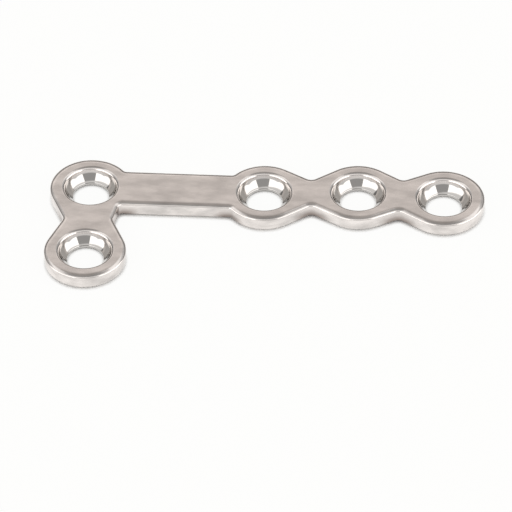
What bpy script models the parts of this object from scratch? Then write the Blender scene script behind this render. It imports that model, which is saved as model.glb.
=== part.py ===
"""Five-hole L-shaped mini plate for small bones, cut from one piece of stainless steel sheet.

The head holds two screw holes and the shaft three, and a blank bar joins them. Each hole has a
spherical seat for the screw head, open to the upper face. Lengths are in metres. +X runs along the
bar towards the shaft, +Z out of the upper face, and the origin lies on the bone side, in the
middle of the bar.
"""

import math

import bmesh
import bpy
from mathutils import Vector

MM = 0.001

# Sheet and its rounded outer edges
THICKNESS = 1.0 * MM
UPPER_EDGE_ROUND = 0.2 * MM
LOWER_EDGE_ROUND = 0.08 * MM

# Screw hole: a short cylindrical land at the bone side, then a spherical seat up to a rounded mouth
BORE_DIAMETER = 2.3 * MM
LAND_HEIGHT = 0.15 * MM
SEAT_WIDTH = 0.6 * MM
MOUTH_ROUND = 0.12 * MM
BORE_EDGE_CHAMFER = 0.05 * MM

# Ring of metal round the seat
RING_WIDTH = 0.85 * MM

# Hole centres
BAR_PITCH = 11.17 * MM
HEAD_PITCH = 5.9 * MM
HEAD_ANGLE = math.radians(88.5)
MIDDLE_PITCH = 6.0 * MM
END_PITCH = 5.5 * MM
MIDDLE_HOLE_OFFSET = 0.3 * MM
END_HOLE_OFFSET = 0.05 * MM

# Bar, necks and the fillets that join them to the rings
BAR_WIDTH = 3.15 * MM
BAR_FILLET = 0.35 * MM
HEAD_NECK_WIDTH = 3.2 * MM
MIDDLE_NECK_WIDTH = 2.55 * MM
END_NECK_WIDTH = 3.0 * MM
NECK_FILLET = 0.5 * MM

# How finely the round stretches are cut into straight pieces
OUTLINE_STEP = math.radians(7.5)
HOLE_STEPS = 40
SEAT_STEPS = 5
MOUTH_STEPS = 3
EDGE_STEPS = 3

# Points closer than this are one point, and faces that turn less than this are one flat face
WELD_DISTANCE = 0.001 * MM
FLAT_ANGLE = math.radians(0.5)

# How far a cutter reaches past the faces that it cuts
CUT_REACH = 0.4 * MM
MOUTH_EXIT_SLOPE = math.radians(12.0)

STEEL_COLOR = (0.62, 0.59, 0.57, 1.0)
STEEL_ROUGHNESS = 0.2

SEAT_RADIUS_AT_MOUTH = BORE_DIAMETER / 2 + SEAT_WIDTH
RING_RADIUS = SEAT_RADIUS_AT_MOUTH + RING_WIDTH


def clear_scene():
    for obj in list(bpy.data.objects):
        bpy.data.objects.remove(obj, do_unlink=True)


def new_collection(name):
    collection = bpy.data.collections.new(name)
    bpy.context.scene.collection.children.link(collection)
    return collection


def hole_centres():
    """Corner, head, inner, middle and end hole, in the plane of the sheet."""
    corner = Vector((-BAR_PITCH / 2, 0.0))
    head = corner + HEAD_PITCH * Vector((math.cos(HEAD_ANGLE), -math.sin(HEAD_ANGLE)))
    inner = Vector((BAR_PITCH / 2, 0.0))
    middle = Vector((inner.x + MIDDLE_PITCH, MIDDLE_HOLE_OFFSET))
    end = Vector((middle.x + END_PITCH, END_HOLE_OFFSET))
    return corner, head, inner, middle, end


def ring(centre):
    """The outer round of a hole's ring. A positive radius turns left, with the metal inside."""
    return centre, RING_RADIUS


def left_of(start, end):
    along = (end - start).normalized()
    return Vector((-along.y, along.x))


def neck_fillet(start, end, width, side):
    """The hollow round between two rings, on the left (1) or right (-1) of the way start to end."""
    half_pitch = (end - start).length / 2
    reach = RING_RADIUS + NECK_FILLET
    touching = math.sqrt(max(reach**2 - half_pitch**2, 0.0))
    height = max(width / 2 + NECK_FILLET, touching)
    return (start + end) / 2 + side * height * left_of(start, end), -NECK_FILLET


def bar_fillet(start, end, side):
    """The hollow round where the bar's edge meets the ring at start."""
    height = BAR_WIDTH / 2 + BAR_FILLET
    along = math.sqrt(max((RING_RADIUS + BAR_FILLET) ** 2 - height**2, 0.0))
    foot = start + along * (end - start).normalized()
    return foot + side * height * left_of(start, end), -BAR_FILLET


def outline_rounds():
    """Every round of the outline in order, counter-clockwise seen from above, as (centre, radius)."""
    corner, head, inner, middle, end = hole_centres()
    return [
        ring(end),
        neck_fillet(middle, end, END_NECK_WIDTH, 1),
        ring(middle),
        neck_fillet(inner, middle, MIDDLE_NECK_WIDTH, 1),
        ring(inner),
        bar_fillet(inner, corner, -1),
        bar_fillet(corner, inner, 1),
        ring(corner),
        neck_fillet(corner, head, HEAD_NECK_WIDTH, -1),
        ring(head),
        neck_fillet(corner, head, HEAD_NECK_WIDTH, 1),
        bar_fillet(corner, inner, -1),
        bar_fillet(inner, corner, 1),
        ring(inner),
        neck_fillet(inner, middle, MIDDLE_NECK_WIDTH, -1),
        ring(middle),
        neck_fillet(middle, end, END_NECK_WIDTH, -1),
    ]


def tangent_angle(first, second):
    """Direction of the left normal of the straight line that touches two rounds in turn."""
    way = second[0] - first[0]
    ratio = (second[1] - first[1]) / way.length
    return math.atan2(way.y, way.x) + math.acos(max(-1.0, min(1.0, ratio)))


def round_points(centre, radius, start, end):
    """Points along one round, between the normals of the lines before and after it."""
    turn = math.copysign(1.0, radius)
    sweep = (turn * (end - start) + math.pi / 4) % math.tau - math.pi / 4
    steps = max(1, math.ceil(abs(sweep) / OUTLINE_STEP))
    for i in range(steps + 1):
        angle = start + turn * sweep * i / steps
        yield centre - radius * Vector((math.cos(angle), math.sin(angle)))


def outline_points():
    rounds = outline_rounds()
    after = rounds[1:] + rounds[:1]
    leaving = [tangent_angle(one, following) for one, following in zip(rounds, after)]
    points = []
    for (centre, radius), start, end in zip(rounds, leaving[-1:] + leaving[:-1], leaving):
        points.extend(round_points(centre, radius, start, end))
    return points


def blank_curve():
    """The sheet's outline as a flat curve, given the sheet's thickness."""
    curve = bpy.data.curves.new("blank_outline", "CURVE")
    curve.dimensions = "2D"
    curve.fill_mode = "BOTH"
    curve.extrude = THICKNESS / 2
    points = outline_points()
    spline = curve.splines.new("POLY")
    spline.points.add(len(points) - 1)
    for target, point in zip(spline.points, points):
        target.co = (point.x, point.y, 0.0, 1.0)
    spline.use_cyclic_u = True
    outline = bpy.data.objects.new("blank_outline", curve)
    outline.location.z = THICKNESS / 2
    return outline


def mesh_from(source, name, collection):
    """A mesh object made from a curve object, its caps welded to its sides and its normals outwards."""
    collection.objects.link(source)
    graph = bpy.context.evaluated_depsgraph_get()
    mesh = bpy.data.meshes.new_from_object(source.evaluated_get(graph))
    mesh.name = name
    mesh.transform(source.matrix_world)
    bpy.data.curves.remove(source.data)
    shape = bmesh.new()
    shape.from_mesh(mesh)
    bmesh.ops.remove_doubles(shape, verts=shape.verts, dist=WELD_DISTANCE)
    bmesh.ops.recalc_face_normals(shape, faces=shape.faces)
    bmesh.ops.dissolve_limit(shape, angle_limit=FLAT_ANGLE, verts=[], edges=shape.edges)
    shape.to_mesh(mesh)
    shape.free()
    obj = bpy.data.objects.new(name, mesh)
    collection.objects.link(obj)
    return obj


def round_outer_edges(obj):
    """Bevels the upper and lower outer edges, each to its own radius, by bevel weight."""
    widest = max(UPPER_EDGE_ROUND, LOWER_EDGE_ROUND)
    mesh = obj.data
    weights = mesh.attributes.new("bevel_weight_edge", "FLOAT", "EDGE")
    for edge in mesh.edges:
        heights = [mesh.vertices[i].co.z for i in edge.vertices]
        if min(heights) > THICKNESS / 2:
            weights.data[edge.index].value = UPPER_EDGE_ROUND / widest
        elif max(heights) < THICKNESS / 2:
            weights.data[edge.index].value = LOWER_EDGE_ROUND / widest
    bevel = obj.modifiers.new("outer_edges", "BEVEL")
    bevel.limit_method = "WEIGHT"
    bevel.offset_type = "OFFSET"
    bevel.width = widest
    bevel.segments = EDGE_STEPS
    bevel.miter_outer = "MITER_SHARP"


def hole_profile():
    """Half section of one screw hole as (radius, height), from the axis above the mouth downwards."""
    bore = BORE_DIAMETER / 2
    depth = THICKNESS - LAND_HEIGHT
    rise = (SEAT_RADIUS_AT_MOUTH**2 - bore**2 - depth**2) / (2 * depth)
    seat_radius = math.hypot(SEAT_RADIUS_AT_MOUTH, rise)
    seat_height = THICKNESS + rise
    lip_height = THICKNESS - MOUTH_ROUND
    lip_radius = math.sqrt((seat_radius + MOUTH_ROUND) ** 2 - (seat_height - lip_height) ** 2)
    lip_angle = math.atan2(seat_height - lip_height, lip_radius)

    points = [(0.0, THICKNESS + CUT_REACH)]
    exit_radius = lip_radius - MOUTH_ROUND * math.sin(MOUTH_EXIT_SLOPE)
    exit_height = lip_height + MOUTH_ROUND * math.cos(MOUTH_EXIT_SLOPE)
    exit_run = (THICKNESS + MOUTH_ROUND - exit_height) / math.tan(MOUTH_EXIT_SLOPE)
    points.append((exit_radius + exit_run, THICKNESS + CUT_REACH))
    points.append((exit_radius + exit_run, THICKNESS + MOUTH_ROUND))
    first = math.pi / 2 + MOUTH_EXIT_SLOPE
    last = math.pi - lip_angle
    for i in range(MOUTH_STEPS + 1):
        angle = first + (last - first) * i / MOUTH_STEPS
        out = MOUTH_ROUND * math.cos(angle)
        up = MOUTH_ROUND * math.sin(angle)
        points.append((lip_radius + out, lip_height + up))
    land_angle = math.acos(bore / seat_radius)
    for i in range(1, SEAT_STEPS + 1):
        angle = lip_angle + (land_angle - lip_angle) * i / SEAT_STEPS
        points.append((seat_radius * math.cos(angle), seat_height - seat_radius * math.sin(angle)))
    points.append((bore, BORE_EDGE_CHAMFER))
    points.append((bore + BORE_EDGE_CHAMFER + CUT_REACH, -CUT_REACH))
    points.append((0.0, -CUT_REACH))
    return points


def hole_cutter(mesh, centre, name, collection):
    """The space of one screw hole, turned about its axis."""
    cutter = bpy.data.objects.new(name, mesh)
    cutter.location = (centre.x, centre.y, 0.0)
    collection.objects.link(cutter)
    cutter.hide_render = True
    cutter.display_type = "WIRE"
    screw = cutter.modifiers.new("turned", "SCREW")
    screw.axis = "Z"
    screw.steps = HOLE_STEPS
    screw.render_steps = HOLE_STEPS
    screw.use_merge_vertices = True
    screw.merge_threshold = WELD_DISTANCE
    screw.use_smooth_shade = True
    return cutter


def cut_holes(plate, collection):
    points = hole_profile()
    mesh = bpy.data.meshes.new("screw_hole")
    vertices = [(radius, 0.0, height) for radius, height in points]
    mesh.from_pydata(vertices, [(i, i + 1) for i in range(len(points) - 1)], [])
    names = ("corner_hole", "head_hole", "inner_hole", "middle_hole", "end_hole")
    for name, centre in zip(names, hole_centres()):
        cutter = hole_cutter(mesh, centre, name, collection)
        cut = plate.modifiers.new(name, "BOOLEAN")
        cut.operation = "DIFFERENCE"
        cut.solver = "EXACT"
        cut.object = cutter


def steel():
    """Polished implant steel."""
    material = bpy.data.materials.new("implant_steel")
    material.use_nodes = True
    shader = material.node_tree.nodes["Principled BSDF"]
    shader.inputs["Base Color"].default_value = STEEL_COLOR
    shader.inputs["Metallic"].default_value = 1.0
    shader.inputs["Roughness"].default_value = STEEL_ROUGHNESS
    return material


def build_plate(parts, cutters):
    plate = mesh_from(blank_curve(), "bone_plate", parts)
    plate.data.materials.append(steel())
    plate.data.shade_smooth()
    round_outer_edges(plate)
    cut_holes(plate, cutters)
    shading = plate.modifiers.new("flat_faces_stay_flat", "WEIGHTED_NORMAL")
    shading.keep_sharp = True


def main():
    clear_scene()
    parts = new_collection("bone_plate")
    cutters = new_collection("cutters")
    build_plate(parts, cutters)


main()
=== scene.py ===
"""Looks of the L-shaped bone plate: its fine mesh, its polished steel and the studio round it.

Lengths are in metres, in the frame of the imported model: +X along the bar to the shaft, +Z out of the
upper face, and the origin on the bone side in the middle of the bar.
"""

import math

import bmesh
import bpy
from bpy.props import FloatProperty, FloatVectorProperty, IntProperty, PointerProperty
from mathutils import Matrix, Vector


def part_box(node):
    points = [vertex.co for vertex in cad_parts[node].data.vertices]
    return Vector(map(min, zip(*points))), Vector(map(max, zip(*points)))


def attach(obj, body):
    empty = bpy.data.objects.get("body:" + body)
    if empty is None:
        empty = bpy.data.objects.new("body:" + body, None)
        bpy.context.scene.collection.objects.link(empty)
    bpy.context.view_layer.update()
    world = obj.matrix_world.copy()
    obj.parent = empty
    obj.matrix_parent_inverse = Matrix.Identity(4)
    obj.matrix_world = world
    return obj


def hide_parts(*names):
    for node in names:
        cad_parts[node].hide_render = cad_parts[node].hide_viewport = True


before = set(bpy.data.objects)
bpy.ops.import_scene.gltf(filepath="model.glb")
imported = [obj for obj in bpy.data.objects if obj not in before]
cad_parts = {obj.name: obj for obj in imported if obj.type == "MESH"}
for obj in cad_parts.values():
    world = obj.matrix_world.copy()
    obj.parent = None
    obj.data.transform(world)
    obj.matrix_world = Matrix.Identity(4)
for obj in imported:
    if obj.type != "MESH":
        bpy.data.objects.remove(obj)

bl_info = {
    "name": "Bone plate",
    "version": (1, 0, 0),
    "blender": (4, 5, 0),
    "location": "3D View > Sidebar > Bone plate",
    "description": "Makes an L-shaped bone plate with countersunk screw holes and its studio",
    "category": "Object",
}

# A millimetre, in metres
MM = 0.001

CAD_LOW, CAD_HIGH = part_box("bone_plate")
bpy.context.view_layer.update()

# Points closer than this are one point
WELD_DISTANCE = 0.001 * MM

# A round of the outline may turn back by less than this, and isn't taken for a full circle then
TURN_BACK = math.radians(45.0)


def linear(code):
    """Linear red, green and blue of an sRGB hex colour such as #C0C0C0."""
    parts = [int(code[i : i + 2], 16) / 255 for i in (1, 3, 5)]
    return [p / 12.92 if p <= 0.04045 else ((p + 0.055) / 1.055) ** 2.4 for p in parts]


def length(name, description, millimetres):
    """A property for a length, shown in the scene's unit."""
    return FloatProperty(
        name=name,
        description=description,
        default=millimetres * MM,
        min=0.0,
        precision=5,
        unit="LENGTH",
    )


def angle(name, description, degrees):
    """A property for an angle, shown in degrees."""
    return FloatProperty(
        name=name, description=description, default=math.radians(degrees), subtype="ANGLE"
    )


def color(name, description, code):
    """A property for a colour, given as an sRGB hex value."""
    return FloatVectorProperty(
        name=name,
        description=description,
        default=linear(code),
        size=3,
        min=0.0,
        max=1.0,
        subtype="COLOR",
    )


def light(name, description, level):
    """A property for a level of light, where 1 is plain white."""
    return FloatProperty(name=name, description=description, default=level, min=0.0)


def share(name, description, part):
    """A property for a share, from 0 to 1."""
    return FloatProperty(name=name, description=description, default=part, min=0.0, max=1.0)


class PlateSizes(bpy.types.PropertyGroup):
    """Sizes of the plate, of its holes and of the rounds on its edges"""

    thickness: length("Sheet thickness", "Thickness of the steel sheet", (CAD_HIGH.z - CAD_LOW.z) / MM)
    bar_pitch: length("Bar pitch", "From the corner hole to the inner shaft hole", 11.17)
    head_pitch: length("Head pitch", "From the corner hole to the head hole", 5.9)
    head_angle: angle("Head angle", "Turn of the head away from the bar", 88.5)
    middle_pitch: length("Middle pitch", "From the inner to the middle hole, along the bar", 6.0)
    end_pitch: length("End pitch", "From the middle to the end hole, along the bar", 5.5)
    middle_offset: length("Middle offset", "From the bar's axis sideways to the middle hole", 0.3)
    end_offset: length("End offset", "From the bar's axis sideways to the end hole", 0.05)
    ring_diameter: length("Ring diameter", "Outer diameter of the ring round a screw hole", 5.2)
    bar_width: length("Bar width", "Width of the blank bar", 3.15)
    bar_fillet: length("Bar fillet", "Hollow round where the bar meets a ring", 0.35)
    head_neck: length("Head neck width", "Narrowest width between the head's rings", 3.2)
    middle_neck: length("Middle neck width", "Narrowest width from the inner to the middle ring", 2.55)
    end_neck: length("End neck width", "Narrowest width from the middle to the end ring", 3.0)
    neck_fillet: length("Neck fillet", "Hollow round in the bottom of a neck", 0.5)
    edge_reach: length("Edge reach", "How far the tumbled edge reaches into the upper face", 0.43)
    edge_drop: length("Edge drop", "How far the tumbled edge comes down the side", 0.18)
    lower_round: length("Lower edge round", "Round of the outer edge on the bone side", 0.2)
    bore: length("Bore diameter", "Diameter of a screw hole at the bone side", 2.3)
    land_height: length("Land height", "Height of the straight bore under the seat", 0.15)
    foot_slope: angle("Foot slope", "Slope of the hollow seat where it meets the bore", 43.5)
    seat_slope: angle("Seat slope", "Slope of the hollow seat at its upper end", 57.0)
    rim_slope: angle("Rim slope", "Slope of the short steep rim above the seat", 68.0)
    rim_hollow: length("Rim hollow", "Radius of the hollow that joins the seat to the rim", 1.1)
    mouth_round: length("Mouth round", "Tumbled round from the rim to the upper face", 0.28)
    land_round: length("Land round", "Round where the seat runs out into the bore", 0.1)
    bone_side_round: length("Bone side round", "Round of the bore's edge at the bone side", 0.05)
    # Painted shade: how far the darkening in the hollow rounds spreads out from them
    hollow_shade_reach: length("Hollow shade reach", "How far duller steel spreads from a hollow round", 0.9)
    hole_segments: IntProperty(
        name="Hole segments", description="Faces round one hole", default=144, min=12
    )
    edge_steps: IntProperty(
        name="Edge steps", description="Faces across one round of the outer edge", default=10, min=1
    )
    outline_step: angle("Outline step", "Turn from one point of an outer round to the next", 3.0)
    run_step: length("Run step", "Distance between the points on a straight run", 0.25)


class SteelLook(bpy.types.PropertyGroup):
    """Finish of the steel, with the painted shade in its hollow rounds"""

    face_color: color("Face colour", "Tint of what the tumbled faces and edges mirror", "#E8E2DE")
    seat_color: color("Seat colour", "Tint of what the darker turned seats mirror", "#C6C3C0")
    face_roughness: share("Face roughness", "Roughness of the tumbled faces and edges", 0.16)
    seat_roughness: share("Seat roughness", "Roughness of the turned screw seats", 0.07)
    wave_size: length("Wave size", "Distance between the soft dents that tumbling leaves", 1.1)
    wave_depth: length("Wave depth", "Depth of those dents", 0.014)
    smudge_size: length("Smudge size", "Width of the faint smudges, drawn out along the bar", 0.9)
    smudge_depth: share("Smudge depth", "How much darker or lighter a smudge is", 0.13)
    rub_size: length("Rub size", "Height of the dull streaks that tumbling leaves on the sides", 0.45)
    rub_depth: share("Rub depth", "How much darker such a streak is", 0.16)
    # Painted shade, not duller steel: the colour low on the sides in the hollow rounds stands in for
    # their shadow and dark reflections, up to that height
    hollow_shade_color: color("Hollow shade colour", "Tint of the duller steel in the hollow rounds", "#9A8F8A")
    hollow_shade_height: length("Hollow shade height", "How far up the side that duller steel reaches", 0.9)
    grain_size: length("Grain size", "Size of the satin grain, drawn coarser than the real one", 0.05)
    grain_depth: length("Grain depth", "Depth of the satin grain", 0.0003)
    grain_spread: share("Grain spread", "How much rougher or smoother the faces are in the grain", 0.15)


class StudioLook(bpy.types.PropertyGroup):
    """Table top and light of the studio"""

    floor_color: color("Floor colour", "Colour of the pale table top", "#FFFFFE")
    floor_glow: share("Floor glow", "Share of plain white in the table top, to the camera", 0.94)
    mirrored_glow: share("Mirrored glow", "Share of plain white in it, in the steel's mirror", 0.94)
    floor_gap: length("Floor gap", "From the table top up to the plate, which isn't quite flat", 0.1)
    contact_shadow: length("Contact shadow", "From the plate's edge to where the floor is clear", 0.28)
    softbox_level: light("Softbox level", "Light of the two softboxes beside the camera", 2.2)
    gap_level: light("Gap level", "Light of the dim gap between them, behind the camera", 0.48)
    low_level: light("Low level", "Light from under the softboxes, down to the table top", 0.85)
    box_foot: angle("Box foot", "How much lower the softboxes reach towards the sides", 10.0)
    box_fall: FloatProperty(
        name="Box fall",
        description="Fall of the softboxes' upper edge towards the sides, in radians at one radian",
        default=0.149,
        min=0.0,
    )
    band_level: light("Band level", "Light of the pale band above the softboxes", 1.0)
    zenith_level: light("Zenith level", "Light of the dim ceiling", 0.34)
    side_level: light("Side level", "Light of the room's sides", 0.5)
    back_level: light("Back level", "Light of the wall behind the plate", 0.66)
    back_foot_level: light("Back foot level", "Light of that wall's brighter lower part", 0.9)
    far_low_level: light("Far low level", "Light from the foot of the sides and of that wall", 0.22)
    light_color: color("Light colour", "Colour of the light in front and above", "#FFFEFD")
    back_color: color("Back colour", "Warmer colour of the light from behind the plate", "#FFF9F5")


def socket(sockets, key):
    """The socket at that place, or the one in use under that name."""
    if isinstance(key, int):
        return sockets[key]
    return next(s for s in sockets if s.name == key and s.enabled)


def add(tree, kind, inputs=None, **settings):
    """Adds a node with its settings, and gives its inputs their values or links.

    An input takes a value, a socket, a node, which stands for its first output in use, or a list.
    """
    node = tree.nodes.new(kind)
    for name, value in settings.items():
        setattr(node, name, value)
    for key, given in (inputs or {}).items():
        target = socket(node.inputs, key)
        for value in given if isinstance(given, list) else [given]:
            if isinstance(value, bpy.types.Node):
                value = next(s for s in value.outputs if s.enabled)
            if isinstance(value, bpy.types.NodeSocket):
                tree.links.new(value, target)
            else:
                target.default_value = value
    return node


def hole_centres(sizes):
    """Corner, head, inner, middle and end hole, in the plane of the sheet."""
    corner = Vector((-sizes.bar_pitch / 2, 0.0))
    to_head = Vector((math.cos(sizes.head_angle), -math.sin(sizes.head_angle)))
    head = corner + sizes.head_pitch * to_head
    inner = Vector((sizes.bar_pitch / 2, 0.0))
    middle = Vector((inner.x + sizes.middle_pitch, sizes.middle_offset))
    end = Vector((middle.x + sizes.end_pitch, sizes.end_offset))
    return corner, head, inner, middle, end


def ring_radius(sizes):
    """Outer radius of the ring round a hole."""
    return sizes.ring_diameter / 2


def left_of(start, end):
    """Direction to the left of the way from start to end."""
    along = (end - start).normalized()
    return Vector((-along.y, along.x))


def neck_fillet(sizes, start, end, width, side):
    """The hollow round between two rings, on the left (1) or right (-1) of the way start to end."""
    half_pitch = (end - start).length / 2
    reach = ring_radius(sizes) + sizes.neck_fillet
    touching = math.sqrt(max(reach**2 - half_pitch**2, 0.0))
    height = max(width / 2 + sizes.neck_fillet, touching)
    return (start + end) / 2 + side * height * left_of(start, end), -sizes.neck_fillet


def bar_fillet(sizes, start, end, side):
    """The hollow round where the bar's edge meets the ring at start."""
    height = sizes.bar_width / 2 + sizes.bar_fillet
    along = math.sqrt(max((ring_radius(sizes) + sizes.bar_fillet) ** 2 - height**2, 0.0))
    foot = start + along * (end - start).normalized()
    return foot + side * height * left_of(start, end), -sizes.bar_fillet


def outline_rounds(sizes):
    """Every round of the outline, counter-clockwise seen from above, as (centre, radius).

    A ring's radius is positive, with the metal inside, and a hollow round's is negative.
    """
    corner, head, inner, middle, end = hole_centres(sizes)
    radius = ring_radius(sizes)
    return [
        (end, radius),
        neck_fillet(sizes, middle, end, sizes.end_neck, 1),
        (middle, radius),
        neck_fillet(sizes, inner, middle, sizes.middle_neck, 1),
        (inner, radius),
        bar_fillet(sizes, inner, corner, -1),
        bar_fillet(sizes, corner, inner, 1),
        (corner, radius),
        neck_fillet(sizes, corner, head, sizes.head_neck, -1),
        (head, radius),
        neck_fillet(sizes, corner, head, sizes.head_neck, 1),
        bar_fillet(sizes, corner, inner, -1),
        bar_fillet(sizes, inner, corner, 1),
        (inner, radius),
        neck_fillet(sizes, inner, middle, sizes.middle_neck, -1),
        (middle, radius),
        neck_fillet(sizes, middle, end, sizes.end_neck, -1),
    ]


def tangent_angle(first, second):
    """Direction of the left normal of the straight line that touches two rounds in turn."""
    way = second[0] - first[0]
    ratio = (second[1] - first[1]) / way.length
    return math.atan2(way.y, way.x) + math.acos(max(-1.0, min(1.0, ratio)))


def outline(sizes):
    """Points along the outer edge, each with the direction from there into the metal."""
    rounds = outline_rounds(sizes)
    after = rounds[1:] + rounds[:1]
    leaving = [tangent_angle(one, following) for one, following in zip(rounds, after)]
    arriving = leaving[-1:] + leaving[:-1]
    points = []
    for (centre, radius), (next_centre, next_radius), start, end in zip(
        rounds, after, arriving, leaving
    ):
        turn = math.copysign(1.0, radius)
        sweep = (turn * (end - start) + TURN_BACK) % math.tau - TURN_BACK
        steps = max(1, math.ceil(abs(sweep) / sizes.outline_step))
        for i in range(steps + 1):
            inward_angle = start + turn * sweep * i / steps
            inward = Vector((math.cos(inward_angle), math.sin(inward_angle)))
            points.append((centre - radius * inward, inward))
        here = points[-1][0]
        run = next_centre - next_radius * inward - here
        pieces = math.ceil(run.length / sizes.run_step)
        points += [(here + run * i / pieces, inward) for i in range(1, pieces)]
    return points


def edge_section(sizes):
    """The outer edge's section from the bone side up, as (distance into the metal, height).

    Tumbling has worn the upper edge to part of an ellipse, long on the face and short on the side.
    """
    turns = [math.pi / 2 * i / sizes.edge_steps for i in range(sizes.edge_steps + 1)]
    section = []
    for turn in turns:
        drop = 1.0 - math.sin(turn)
        rise = 1.0 - math.cos(turn)
        section.append((sizes.lower_round * drop, sizes.lower_round * rise))
    for turn in turns:
        inset = sizes.edge_reach * (1.0 - math.cos(turn))
        section.append((inset, sizes.thickness - sizes.edge_drop * (1.0 - math.sin(turn))))
    return section


def mouth_radius(sizes):
    """Radius at which the round of a hole's mouth runs out into the upper face."""
    foot, top, rim = sizes.foot_slope, sizes.seat_slope, sizes.rim_slope
    lip_fall = sizes.mouth_round * (1.0 - math.cos(rim))
    rim_fall = sizes.rim_hollow * (math.cos(top) - math.cos(rim))
    seat_depth = sizes.thickness - sizes.land_height - lip_fall - rim_fall
    seat = seat_depth / (math.cos(foot) - math.cos(top))
    seat_width = seat * (math.sin(top) - math.sin(foot))
    rim_width = sizes.rim_hollow * (math.sin(rim) - math.sin(top))
    return sizes.bore / 2 + seat_width + rim_width + sizes.mouth_round * math.sin(rim)


def closed_loop(shape, points):
    """Joins points into a ring of edges and returns them with its edges."""
    vertices = [shape.verts.new(point) for point in points]
    edges = [shape.edges.new((a, b)) for a, b in zip(vertices, vertices[1:] + vertices[:1])]
    return vertices, edges


def circle(centre, radius, height, segments):
    """Points round a circle that lies flat at a height."""
    turns = [math.tau * i / segments for i in range(segments)]
    return [
        (centre.x + radius * math.cos(turn), centre.y + radius * math.sin(turn), height)
        for turn in turns
    ]


def plate_skin(sizes):
    """The plate's faces and outer edges, open at the holes.

    One loose point is marked at each hole, and each point says how near it is to a hollow round, which
    places the painted shade there.
    """
    points = outline(sizes)
    centres = hole_centres(sizes)
    shape = bmesh.new()
    loops = []
    for inset, height in edge_section(sizes):
        ring = [point + inset * inward for point, inward in points]
        loops.append(closed_loop(shape, [(p.x, p.y, height) for p in ring]))
    for (lower, _), (upper, _) in zip(loops, loops[1:]):
        for a, b, c, d in zip(lower, lower[1:] + lower[:1], upper[1:] + upper[:1], upper):
            shape.faces.new((a, b, c, d))
    openings = (
        (loops[0], sizes.bore / 2 + sizes.bone_side_round, 0.0),
        (loops[-1], mouth_radius(sizes), sizes.thickness),
    )
    for (_, border), radius, height in openings:
        edges = list(border)
        for centre in centres:
            rim = circle(centre, radius, height, sizes.hole_segments)
            edges += closed_loop(shape, rim)[1]
        bmesh.ops.triangle_fill(shape, use_beauty=True, edges=edges, normal=(0.0, 0.0, 1.0))
    # Nearness to the hollow rounds, where the steel's colour is darkened as painted shade
    hollow = shape.verts.layers.float.new("hollow")
    hollow_rounds = [(centre, -radius) for centre, radius in outline_rounds(sizes) if radius < 0.0]
    for vertex in shape.verts:
        off = min((vertex.co.xy - centre).length - radius for centre, radius in hollow_rounds)
        vertex[hollow] = max(0.0, 1.0 - off / sizes.hollow_shade_reach)
    marked = shape.verts.layers.bool.new("hole_centre")
    for centre in centres:
        shape.verts.new((centre.x, centre.y, 0.0))[marked] = True
    mesh = bpy.data.meshes.new("plate_skin")
    shape.to_mesh(mesh)
    shape.free()
    return mesh


# The inputs that set the section of a hole, each with the size that it takes
HOLE_MEASURES = {
    "Sheet Thickness": "thickness",
    "Bore Diameter": "bore",
    "Land Height": "land_height",
    "Foot Slope": "foot_slope",
    "Seat Slope": "seat_slope",
    "Rim Slope": "rim_slope",
    "Rim Hollow": "rim_hollow",
    "Mouth Round": "mouth_round",
    "Land Round": "land_round",
    "Bone Side Round": "bone_side_round",
}

# How the section of a hole follows from its measures: a result's name, the operation and its operands
HOLE_STEPS = (
    ("bore", "MULTIPLY", "Bore Diameter", 0.5),
    ("foot sine", "SINE", "Foot Slope"),
    ("foot cosine", "COSINE", "Foot Slope"),
    ("seat sine", "SINE", "Seat Slope"),
    ("seat cosine", "COSINE", "Seat Slope"),
    ("rim sine", "SINE", "Rim Slope"),
    ("rim cosine", "COSINE", "Rim Slope"),
    # The hollow seat's radius follows from the depth left under the rim and the mouth's round
    ("lip share", "SUBTRACT", 1.0, "rim cosine"),
    ("lip fall", "MULTIPLY", "Mouth Round", "lip share"),
    ("rim share", "SUBTRACT", "seat cosine", "rim cosine"),
    ("rim fall", "MULTIPLY", "Rim Hollow", "rim share"),
    ("lip up", "SUBTRACT", "Sheet Thickness", "Mouth Round"),
    ("rim top", "SUBTRACT", "Sheet Thickness", "lip fall"),
    ("seat top", "SUBTRACT", "rim top", "rim fall"),
    ("seat depth", "SUBTRACT", "seat top", "Land Height"),
    ("seat share", "SUBTRACT", "foot cosine", "seat cosine"),
    ("seat", "DIVIDE", "seat depth", "seat share"),
    ("seat aside", "MULTIPLY", "seat", "foot sine"),
    ("seat out", "SUBTRACT", "bore", "seat aside"),
    ("seat up", "MULTIPLY_ADD", "seat", "foot cosine", "Land Height"),
    # The rim's hollow goes on from the seat, and the mouth's round from there to the upper face
    ("rim shift", "SUBTRACT", "seat", "Rim Hollow"),
    ("rim out", "MULTIPLY_ADD", "rim shift", "seat sine", "seat out"),
    ("rim drop", "MULTIPLY", "rim shift", "seat cosine"),
    ("rim up", "SUBTRACT", "seat up", "rim drop"),
    ("rim start", "SUBTRACT", "Seat Slope", math.pi / 2),
    ("rim sweep", "SUBTRACT", "Rim Slope", "Seat Slope"),
    ("lip reach", "ADD", "Rim Hollow", "Mouth Round"),
    ("lip out", "MULTIPLY_ADD", "lip reach", "rim sine", "rim out"),
    # The land's round touches the seat and the bore
    ("land out", "ADD", "bore", "Land Round"),
    ("land reach", "ADD", "seat", "Land Round"),
    ("land aside", "SUBTRACT", "land out", "seat out"),
    ("land ratio", "DIVIDE", "land aside", "land reach"),
    ("land slope", "ARCSINE", "land ratio"),
    ("land cosine", "COSINE", "land slope"),
    ("land drop", "MULTIPLY", "land reach", "land cosine"),
    ("land up", "SUBTRACT", "seat up", "land drop"),
    ("land start", "ADD", "land slope", math.pi / 2),
    ("land sweep", "SUBTRACT", math.pi / 2, "land slope"),
    ("seat start", "SUBTRACT", "land slope", math.pi / 2),
    ("seat sweep", "SUBTRACT", "Seat Slope", "land slope"),
    ("edge out", "ADD", "bore", "Bone Side Round"),
    ("to bore", "MULTIPLY", "bore", -1.0),
)

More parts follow.
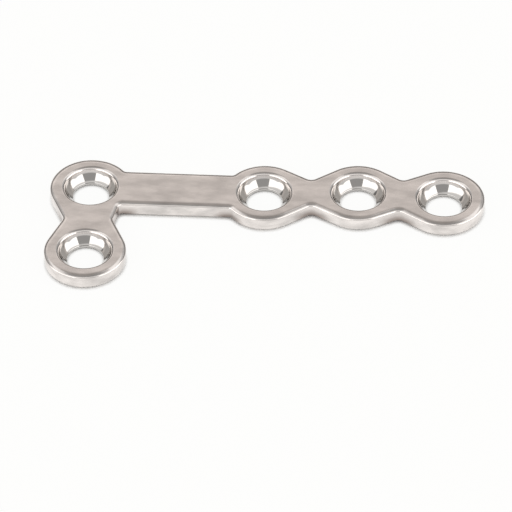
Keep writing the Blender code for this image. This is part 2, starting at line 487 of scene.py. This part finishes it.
# Half section of a hole in the XY plane, X being the distance from its axis and Y the height. Each
# round: how far out and up its centre is, its radius, start and sweep, and the points along it
HOLE_ROUNDS = (
    ("edge out", "Bone Side Round", "Bone Side Round", math.pi, math.pi / 2, 4),
    ("land out", "land up", "Land Round", "land start", "land sweep", 5),
    ("seat out", "seat up", "seat", "seat start", "seat sweep", 16),
    ("rim out", "rim up", "Rim Hollow", "rim start", "rim sweep", 10),
    ("lip out", "lip up", "Mouth Round", math.pi / 2, "Rim Slope", 14),
)


def screw_hole_tree():
    """Lines every marked hole of a plate: a straight land, a spherical seat and a rounded mouth."""
    tree = bpy.data.node_groups.new("screw_holes", "GeometryNodeTree")
    for name, kind in (
        ("Plate", "NodeSocketGeometry"),
        *((measure, "NodeSocketFloat") for measure in HOLE_MEASURES),
        ("Weld Distance", "NodeSocketFloat"),
        ("Segments", "NodeSocketInt"),
        ("Steel", "NodeSocketMaterial"),
    ):
        tree.interface.new_socket(name, in_out="INPUT", socket_type=kind)
    tree.interface.new_socket("Plate", in_out="OUTPUT", socket_type="NodeSocketGeometry")
    given = add(tree, "NodeGroupInput").outputs

    worth = {name: given[name] for name in HOLE_MEASURES}
    for name, operation, *operands in HOLE_STEPS:
        numbers = {i: worth.get(operand, operand) for i, operand in enumerate(operands)}
        worth[name] = add(tree, "ShaderNodeMath", numbers, operation=operation)

    pieces = []
    for *measures, points in HOLE_ROUNDS:
        out, up, radius, start, sweep = (worth.get(measure, measure) for measure in measures)
        arc = add(
            tree,
            "GeometryNodeCurveArc",
            {"Resolution": points, "Radius": radius, "Start Angle": start, "Sweep Angle": sweep},
            mode="RADIUS",
        )
        place = add(tree, "ShaderNodeCombineXYZ", {"X": out, "Y": up})
        pieces.append(add(tree, "GeometryNodeTransform", {"Geometry": arc, "Translation": place}))
    land_foot = add(tree, "ShaderNodeCombineXYZ", {"X": worth["bore"], "Y": given["Bone Side Round"]})
    land_top = add(tree, "ShaderNodeCombineXYZ", {"X": worth["bore"], "Y": worth["land up"]})
    pieces.append(add(tree, "GeometryNodeCurvePrimitiveLine", {"Start": land_foot, "End": land_top}))
    section = add(tree, "GeometryNodeJoinGeometry", {"Geometry": pieces})

    # Swept round the bore's circle, which turns the section's Y downwards, set on each marked point
    # and welded to the plate
    to_bore = add(tree, "ShaderNodeCombineXYZ", {"X": worth["to bore"]})
    centred = add(
        tree,
        "GeometryNodeTransform",
        {"Geometry": section, "Translation": to_bore, "Scale": (1.0, -1.0, 1.0)},
    )
    bore_circle = add(
        tree,
        "GeometryNodeCurvePrimitiveCircle",
        {"Resolution": given["Segments"], "Radius": worth["bore"]},
        mode="RADIUS",
    )
    swept = {"Curve": bore_circle, "Profile Curve": centred}
    lining = add(tree, "GeometryNodeCurveToMesh", swept)
    marked = add(
        tree, "GeometryNodeInputNamedAttribute", {"Name": "hole_centre"}, data_type="BOOLEAN"
    )
    parted = add(
        tree,
        "GeometryNodeSeparateGeometry",
        {"Geometry": given["Plate"], "Selection": marked},
        domain="POINT",
    ).outputs
    copies = add(
        tree, "GeometryNodeInstanceOnPoints", {"Points": parted["Selection"], "Instance": lining}
    )
    real = add(tree, "GeometryNodeRealizeInstances", {"Geometry": copies})
    position = add(tree, "GeometryNodeInputPosition")
    below_rim = add(
        tree,
        "ShaderNodeMapRange",
        {
            "Value": add(tree, "ShaderNodeSeparateXYZ", {"Vector": position}).outputs["Z"],
            "From Min": worth["seat top"],
            "From Max": worth["rim top"],
            "To Min": 1.0,
            "To Max": 0.0,
        },
    )
    turned = add(
        tree,
        "GeometryNodeStoreNamedAttribute",
        {"Geometry": real, "Name": "turned_seat", "Value": below_rim},
        data_type="FLOAT",
        domain="POINT",
    )
    joined = add(tree, "GeometryNodeJoinGeometry", {"Geometry": [parted["Inverted"], turned]})
    welded = add(
        tree, "GeometryNodeMergeByDistance", {"Geometry": joined, "Distance": given["Weld Distance"]}
    )
    smooth = add(tree, "GeometryNodeSetShadeSmooth", {"Geometry": welded})
    whole = add(tree, "GeometryNodeRealizeInstances", {"Geometry": smooth})
    steel = add(tree, "GeometryNodeSetMaterial", {"Geometry": whole, "Material": given["Steel"]})
    add(tree, "NodeGroupOutput", {"Plate": steel})
    return tree


def tumbled_steel(look):
    """Implant steel, 316L, tumbled and electropolished, with seats that were turned last.

    Tumbling leaves soft dents and a satin grain on the faces and rounds their edges. It rubs the
    upright sides unevenly. Low on the sides next to the hollow rounds the colour is darkened as painted
    shade, for the shadow and dark reflections there. The seats keep the cleaner mirror of the turning
    tool. The steel has a slightly warm grey.
    """
    material = bpy.data.materials.new("tumbled_implant_steel")
    material.use_nodes = True
    tree = material.node_tree
    tree.nodes.clear()
    space = add(tree, "ShaderNodeTexCoord").outputs
    place = space["Object"]
    worth = {
        "height": add(tree, "ShaderNodeSeparateXYZ", {"Vector": place}).outputs["Z"],
        "upright": add(tree, "ShaderNodeSeparateXYZ", {"Vector": space["Normal"]}).outputs["Z"],
        "turned": add(tree, "ShaderNodeAttribute", attribute_name="turned_seat").outputs["Fac"],
        "hollow": add(tree, "ShaderNodeAttribute", attribute_name="hollow").outputs["Fac"],
    }

    # Patterns: how closely each is packed along X, Y and Z, its size, its detail and its roughness
    for name, packing, size, detail, roughness in (
        ("dents", (1.0, 1.0, 1.0), look.wave_size, 2.0, 0.45),
        ("smudges", (0.45, 1.0, 1.0), look.smudge_size, 3.0, 0.55),
        ("rubs", (0.35, 0.35, 1.0), look.rub_size, 2.0, 0.5),
        ("grain", (1.0, 1.0, 1.0), look.grain_size, 3.0, 0.6),
    ):
        packed = add(tree, "ShaderNodeMapping", {"Vector": place, "Scale": packing})
        worth[name] = add(
            tree,
            "ShaderNodeTexNoise",
            {"Vector": packed, "Scale": 1.0 / size, "Detail": detail, "Roughness": roughness},
        )

    # Shares: what each follows, along which curve, from where to where, and what it is there
    smoother = (1.0 - look.grain_spread) * look.face_roughness
    rougher = (1.0 + look.grain_spread) * look.face_roughness
    for name, measured, curve, start, end, low, high in (
        ("polish", "grain", "LINEAR", 0.35, 0.65, smoother, rougher),
        ("smudged", "smudges", "LINEAR", 0.35, 0.65, 0.0, 1.0),
        ("on side", "upright", "LINEAR", 0.6, 0.2, 0.0, 1.0),
        ("rubbed", "rubs", "LINEAR", 0.4, 0.65, 0.0, "on side"),
        # Painted shade: darker near the hollow rounds, on the sides and low down, for the shadow and
        # dark reflections there
        ("in hollow", "hollow", "SMOOTHSTEP", 0.0, 1.0, 0.0, "on side"),
        ("low shade", "height", "SMOOTHSTEP", look.hollow_shade_height, 0.0, 0.0, "in hollow"),
    ):
        worth[name] = add(
            tree,
            "ShaderNodeMapRange",
            {
                "Value": worth[measured],
                "From Min": start,
                "From Max": end,
                "To Min": low,
                "To Max": worth.get(high, high),
            },
            interpolation_type=curve,
        )

    # Tints of what the steel mirrors, each laid over the one before by a share
    darker = (*(c * (1.0 - look.smudge_depth) for c in look.face_color), 1.0)
    lighter = (*(min(1.0, c * (1.0 + look.smudge_depth)) for c in look.face_color), 1.0)
    grey = 1.0 - look.rub_depth
    for name, blend, by, under, over in (
        ("faces", "MIX", "smudged", darker, lighter),
        ("streaked", "MULTIPLY", "rubbed", "faces", (grey, grey, grey, 1.0)),
        # Painted shade laid over the steel's tint low in the hollow rounds
        ("dulled", "MULTIPLY", "low shade", "streaked", (*look.hollow_shade_color, 1.0)),
        ("tint", "MIX", "turned", "dulled", (*look.seat_color, 1.0)),
    ):
        worth[name] = add(
            tree,
            "ShaderNodeMix",
            {"Factor": worth[by], "A": worth.get(under, under), "B": over},
            data_type="RGBA",
            blend_type=blend,
        )
    roughness = add(
        tree,
        "ShaderNodeMix",
        {"Factor": worth["turned"], "A": worth["polish"], "B": look.seat_roughness},
        data_type="FLOAT",
    )

    tumbled = add(tree, "ShaderNodeMath", {0: 1.0, 1: worth["turned"]}, operation="SUBTRACT")
    wavy = add(
        tree,
        "ShaderNodeBump",
        {"Strength": tumbled, "Distance": look.wave_depth, "Height": worth["dents"]},
    )
    satin = add(
        tree,
        "ShaderNodeBump",
        {
            "Strength": tumbled,
            "Distance": look.grain_depth,
            "Height": worth["grain"],
            "Normal": wavy,
        },
    )
    shader = add(
        tree,
        "ShaderNodeBsdfPrincipled",
        {"Metallic": 1.0, "Base Color": worth["tint"], "Roughness": roughness, "Normal": satin},
    )
    add(tree, "ShaderNodeOutputMaterial", {"Surface": shader})
    return material


def outwards(mesh):
    """Turns every face of a closed mesh to point out of it."""
    shape = bmesh.new()
    shape.from_mesh(mesh)
    bmesh.ops.recalc_face_normals(shape, faces=shape.faces)
    open_edges = [edge for edge in shape.edges if len(edge.link_faces) != 2]
    shape.to_mesh(mesh)
    shape.free()
    if open_edges:
        raise RuntimeError(f"the plate has {len(open_edges)} edges that don't join two faces")


class BONEPLATE_OT_plate(bpy.types.Operator):
    """Makes the plate and puts it in place of the CAD node"""

    bl_idname = "bone_plate.plate"
    bl_label = "Make the plate"

    def execute(self, context):
        sizes = context.scene.plate_sizes
        plate = bpy.data.objects.new("polished_plate", plate_skin(sizes))
        context.scene.collection.objects.link(plate)
        holes = plate.modifiers.new("screw_holes", "NODES")
        holes.node_group = screw_hole_tree()
        values = {name: getattr(sizes, size) for name, size in HOLE_MEASURES.items()}
        values["Weld Distance"] = WELD_DISTANCE
        values["Segments"] = sizes.hole_segments
        values["Steel"] = tumbled_steel(context.scene.steel_look)
        for item in holes.node_group.interface.items_tree:
            if item.in_out == "INPUT" and item.name in values:
                holes[item.identifier] = values[item.name]
        graph = context.evaluated_depsgraph_get()
        mesh = bpy.data.meshes.new_from_object(
            plate.evaluated_get(graph), preserve_all_data_layers=True, depsgraph=graph
        )
        plate.modifiers.clear()
        plate.data = mesh
        outwards(mesh)
        shading = plate.modifiers.new("flat_faces_stay_flat", "WEIGHTED_NORMAL")
        shading.keep_sharp = True
        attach(plate, "root")
        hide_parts("bone_plate")
        return {"FINISHED"}


# Past the first of these turns away from the front, the softboxes start to reach lower, and from the
# second on they reach lowest
LOWER_FROM = math.radians(60.0)
LOWEST_FROM = math.radians(85.0)


def studio_light(look, facing):
    """The room that lights the plate, drawn by direction: two softboxes, a dim gap, walls, a ceiling.

    The camera itself sees plain white there.
    """
    world = bpy.data.worlds.new("studio")
    world.use_nodes = True
    tree = world.node_tree
    tree.nodes.clear()
    direction = add(tree, "ShaderNodeTexCoord").outputs["Generated"]
    turned = add(
        tree,
        "ShaderNodeVectorRotate",
        {"Vector": direction, "Angle": -facing},
        rotation_type="Z_AXIS",
    )
    parts = add(tree, "ShaderNodeSeparateXYZ", {"Vector": turned}).outputs
    up = add(tree, "ShaderNodeMath", {0: parts["Z"]}, operation="ARCSINE")
    front = add(tree, "ShaderNodeMath", {0: parts["Y"], 1: -1.0}, operation="MULTIPLY")
    side = add(tree, "ShaderNodeMath", {0: parts["X"]}, operation="ABSOLUTE")
    away = add(tree, "ShaderNodeMath", {0: side, 1: front}, operation="ARCTAN2")

    # The softboxes' upper edge falls and their lower edge comes down towards the sides
    fall = add(tree, "ShaderNodeMath", {0: away, 1: look.box_fall}, operation="MULTIPLY")
    over = add(tree, "ShaderNodeMath", {0: away, 1: fall, 2: up}, operation="MULTIPLY_ADD")
    lowered = add(
        tree,
        "ShaderNodeMapRange",
        {"Value": away, "From Min": LOWER_FROM, "From Max": LOWEST_FROM, "To Max": look.box_foot},
        interpolation_type="SMOOTHSTEP",
    )
    foot = add(tree, "ShaderNodeMath", {0: up, 1: lowered}, operation="ADD")

    # Where a part of the room gives way to the next, in degrees of what is measured
    edges = {}
    for name, measured, start, end in (
        ("gap", away, 28.0, 31.0),
        ("box", away, 101.0, 107.0),
        ("side", away, 145.0, 155.0),
        ("low", foot, 16.0, 20.0),
        ("far low", up, 20.0, 29.0),
        ("back foot", up, 31.0, 39.0),
        ("box top", over, 42.0, 46.0),
        ("side top", up, 42.0, 46.0),
        ("ceiling", up, 60.0, 70.0),
        ("back ceiling", up, 48.0, 66.0),
    ):
        edges[name] = add(
            tree,
            "ShaderNodeMapRange",
            {"Value": measured, "From Min": math.radians(start), "From Max": math.radians(end)},
            interpolation_type="SMOOTHSTEP",
        )

    # The light before and past each of those edges
    room = {}
    for name, edge, before, past in (
        ("boxes", "gap", look.gap_level, look.softbox_level),
        ("boxes", "low", look.low_level, "boxes"),
        ("band", "ceiling", look.band_level, look.zenith_level),
        ("boxes", "box top", "boxes", "band"),
        ("back", "back foot", look.back_foot_level, look.back_level),
        ("far", "side", look.side_level, "back"),
        ("far", "far low", look.far_low_level, "far"),
        ("sides", "side top", "far", "band"),
        ("back", "back ceiling", "far", look.zenith_level),
        ("far", "side", "sides", "back"),
        ("room", "box", "boxes", "far"),
    ):
        lights = {"Factor": edges[edge], "A": room.get(before, before), "B": room.get(past, past)}
        room[name] = add(tree, "ShaderNodeMix", lights, data_type="FLOAT")
    tone = add(
        tree,
        "ShaderNodeMix",
        {"Factor": edges["side"], "A": (*look.light_color, 1.0), "B": (*look.back_color, 1.0)},
        data_type="RGBA",
    )
    lit = add(tree, "ShaderNodeBackground", {"Color": tone, "Strength": room["room"]})
    white = add(tree, "ShaderNodeBackground", {"Color": (1.0, 1.0, 1.0, 1.0), "Strength": 1.0})
    to_camera = add(tree, "ShaderNodeLightPath").outputs["Is Camera Ray"]
    shown = add(tree, "ShaderNodeMixShader", {0: to_camera, 1: lit, 2: white})
    add(tree, "ShaderNodeOutputWorld", {"Surface": shown})
    return world


# The contact shadow: its samples, and the open shares of the sky where it is darkest and where it ends
SHADOW_SAMPLES = 8
SHADOW_DARKEST = 0.3
SHADOW_END = 0.9


def table_top(look):
    """Matt white laminate, seamless and clean, that keeps the plate's soft shadow.

    The camera and the steel see it nearly at plain white, except close under the plate's edge.
    """
    material = bpy.data.materials.new("matt_white_laminate")
    material.use_nodes = True
    tree = material.node_tree
    tree.nodes.clear()
    laminate = (*look.floor_color, 1.0)
    matt = add(
        tree,
        "ShaderNodeBsdfPrincipled",
        {"Base Color": laminate, "Roughness": 1.0, "Specular IOR Level": 0.0},
    )
    glow = add(tree, "ShaderNodeEmission", {"Color": laminate, "Strength": 1.0})
    path = add(tree, "ShaderNodeLightPath").outputs
    seen = {0: path["Is Camera Ray"], 1: look.floor_glow}
    mirrored = {
        0: path["Is Glossy Ray"],
        1: look.mirrored_glow,
        2: add(tree, "ShaderNodeMath", seen, operation="MULTIPLY"),
    }
    plain = add(tree, "ShaderNodeMath", mirrored, operation="MULTIPLY_ADD")
    sky = add(
        tree,
        "ShaderNodeAmbientOcclusion",
        {"Distance": look.contact_shadow},
        samples=SHADOW_SAMPLES,
    )
    clear = add(
        tree,
        "ShaderNodeMapRange",
        {"Value": sky.outputs["AO"], "From Min": SHADOW_DARKEST, "From Max": SHADOW_END},
        interpolation_type="SMOOTHSTEP",
    )
    white = add(tree, "ShaderNodeMath", {0: plain, 1: clear}, operation="MULTIPLY")
    surface = add(tree, "ShaderNodeMixShader", {0: white, 1: matt, 2: glow})
    add(tree, "ShaderNodeOutputMaterial", {"Surface": surface})
    return material


# The camera, fitted to the photograph: its aim, direction, roll and distance, the focal length of
# its lens in millimetres for a sensor 36 mm wide, and the nearest and farthest that it sees
CAMERA_AIM = Vector((5.3745, -5.5012, 0.5)) * MM
CAMERA_AZIMUTH = math.radians(3.963)
CAMERA_ELEVATION = math.radians(43.412)
CAMERA_ROLL = math.radians(-0.732)
CAMERA_DISTANCE = 272.23 * MM
CAMERA_LENS = 302.92
CAMERA_NEAR = 10.0 * MM
CAMERA_FAR = 10000.0 * MM

# How far round the plate the middle of the gap between the softboxes lies from the camera
GAP_SHIFT = math.radians(6.0)

# Half the side of the square table top
TABLE_HALF = 600.0 * MM


def camera_matrix():
    """Place and turn of the camera, with a little roll as in the photograph."""
    back = Vector(
        (
            math.sin(CAMERA_AZIMUTH) * math.cos(CAMERA_ELEVATION),
            -math.cos(CAMERA_AZIMUTH) * math.cos(CAMERA_ELEVATION),
            math.sin(CAMERA_ELEVATION),
        )
    )
    level = back.to_track_quat("Z", "Y").to_matrix().to_4x4()
    place = Matrix.Translation(CAMERA_AIM + CAMERA_DISTANCE * back)
    return place @ (level @ Matrix.Rotation(CAMERA_ROLL, 4, "Z"))


class BONEPLATE_OT_studio(bpy.types.Operator):
    """Makes the table top, the light round it and the camera"""

    bl_idname = "bone_plate.studio"
    bl_label = "Make the studio"

    def execute(self, context):
        scene = context.scene
        look = scene.studio_look
        sides = ((-1, -1), (1, -1), (1, 1), (-1, 1))
        corners = [(TABLE_HALF * x, TABLE_HALF * y, -look.floor_gap) for x, y in sides]
        mesh = bpy.data.meshes.new("table_top")
        mesh.from_pydata(corners, [], [(0, 1, 2, 3)])
        mesh.materials.append(table_top(look))
        table = bpy.data.objects.new("table_top", mesh)
        scene.collection.objects.link(table)

        scene.world = studio_light(look, CAMERA_AZIMUTH + GAP_SHIFT)
        scene.view_settings.view_transform = "Standard"

        camera = bpy.data.objects.new("camera", bpy.data.cameras.new("camera"))
        camera.data.lens = CAMERA_LENS
        camera.data.clip_start = CAMERA_NEAR
        camera.data.clip_end = CAMERA_FAR
        camera.matrix_world = camera_matrix()
        scene.collection.objects.link(camera)
        scene.camera = camera
        return {"FINISHED"}


class BONEPLATE_PT_panel(bpy.types.Panel):
    """Sizes, finish and light of the plate, and the steps that make it"""

    bl_idname = "BONEPLATE_PT_panel"
    bl_label = "Bone plate"
    bl_space_type = "VIEW_3D"
    bl_region_type = "UI"
    bl_category = "Bone plate"

    def draw(self, context):
        scene = context.scene
        for group in (scene.plate_sizes, scene.steel_look, scene.studio_look):
            box = self.layout.box()
            for name in group.__annotations__:
                box.prop(group, name)
        self.layout.operator(BONEPLATE_OT_plate.bl_idname)
        self.layout.operator(BONEPLATE_OT_studio.bl_idname)


CLASSES = (
    PlateSizes,
    SteelLook,
    StudioLook,
    BONEPLATE_OT_plate,
    BONEPLATE_OT_studio,
    BONEPLATE_PT_panel,
)


def register():
    """Registers the classes and gives the scenes their settings."""
    for one in CLASSES:
        bpy.utils.register_class(one)
    bpy.types.Scene.plate_sizes = PointerProperty(type=PlateSizes)
    bpy.types.Scene.steel_look = PointerProperty(type=SteelLook)
    bpy.types.Scene.studio_look = PointerProperty(type=StudioLook)


def unregister():
    """Takes the settings off the scenes and unregisters the classes."""
    del bpy.types.Scene.studio_look
    del bpy.types.Scene.steel_look
    del bpy.types.Scene.plate_sizes
    for one in reversed(CLASSES):
        bpy.utils.unregister_class(one)


def main():
    """Makes the plate and its studio."""
    register()
    bpy.ops.bone_plate.plate()
    bpy.ops.bone_plate.studio()


if __name__ == "__main__":
    main()
